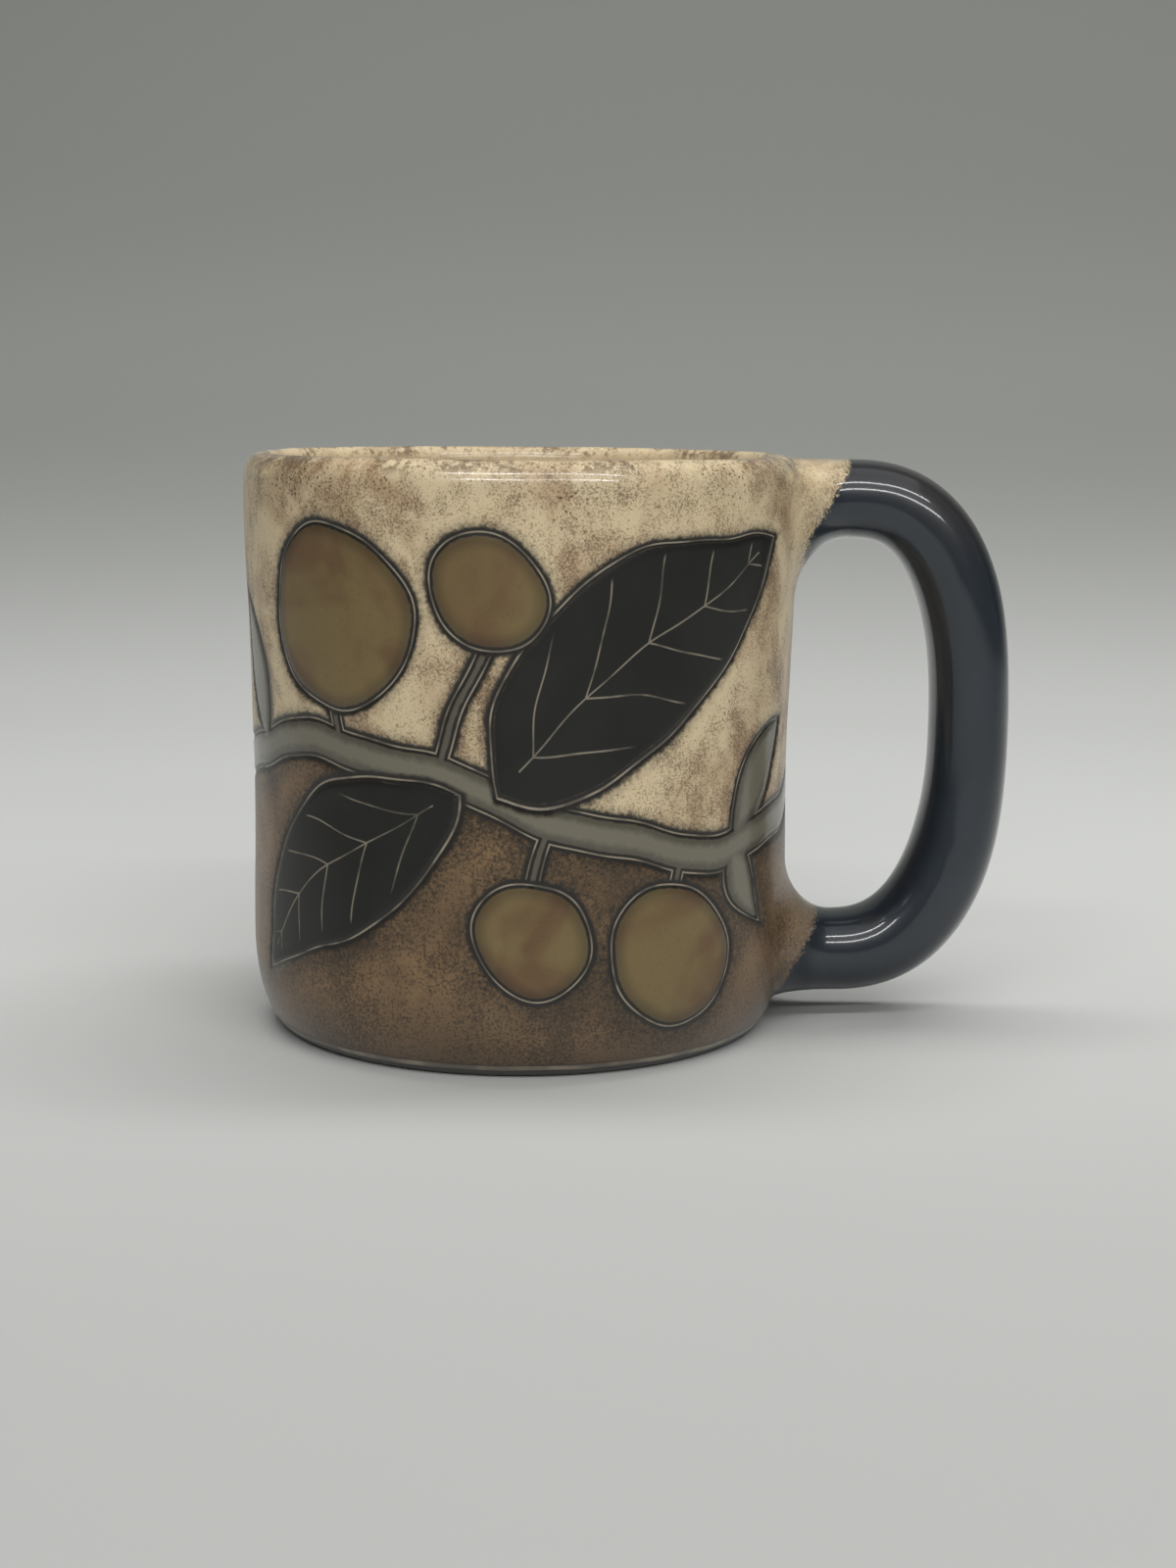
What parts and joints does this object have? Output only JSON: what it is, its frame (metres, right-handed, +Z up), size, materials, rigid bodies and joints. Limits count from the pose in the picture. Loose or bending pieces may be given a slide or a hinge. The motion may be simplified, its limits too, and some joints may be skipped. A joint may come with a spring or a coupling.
{
  "type": "mug",
  "caption": "Hand-built stoneware mug with a rounded rim, rounded foot and one thick pulled loop handle set in flared collars.",
  "frame": {"origin": "The middle of the flat foot, on the cup's axis, where the mug stands on a table.", "axes": "+Z is up along the cup's axis, +X points from the axis to the handle, and +Y follows from the right-hand rule."},
  "size_m": [0.1372, 0.0982, 0.102],
  "materials": {
    "cream_glaze": "satin speckled glaze",
    "bare_clay": "unglazed",
    "liner_glaze": "satin speckled glaze",
    "blue_black_glaze": "satin",
    "upper_collar_glaze": "satin speckled glaze",
    "lower_collar_glaze": "satin speckled glaze"
  },
  "bodies": {
    "root": {"cup_wall": "cream_glaze", "cup_floor": "bare_clay", "floor_seam_coil": "liner_glaze", "handle": "blue_black_glaze", "upper_handle_collar": "upper_collar_glaze", "lower_handle_collar": "lower_collar_glaze"}
  },
  "joints": []
}
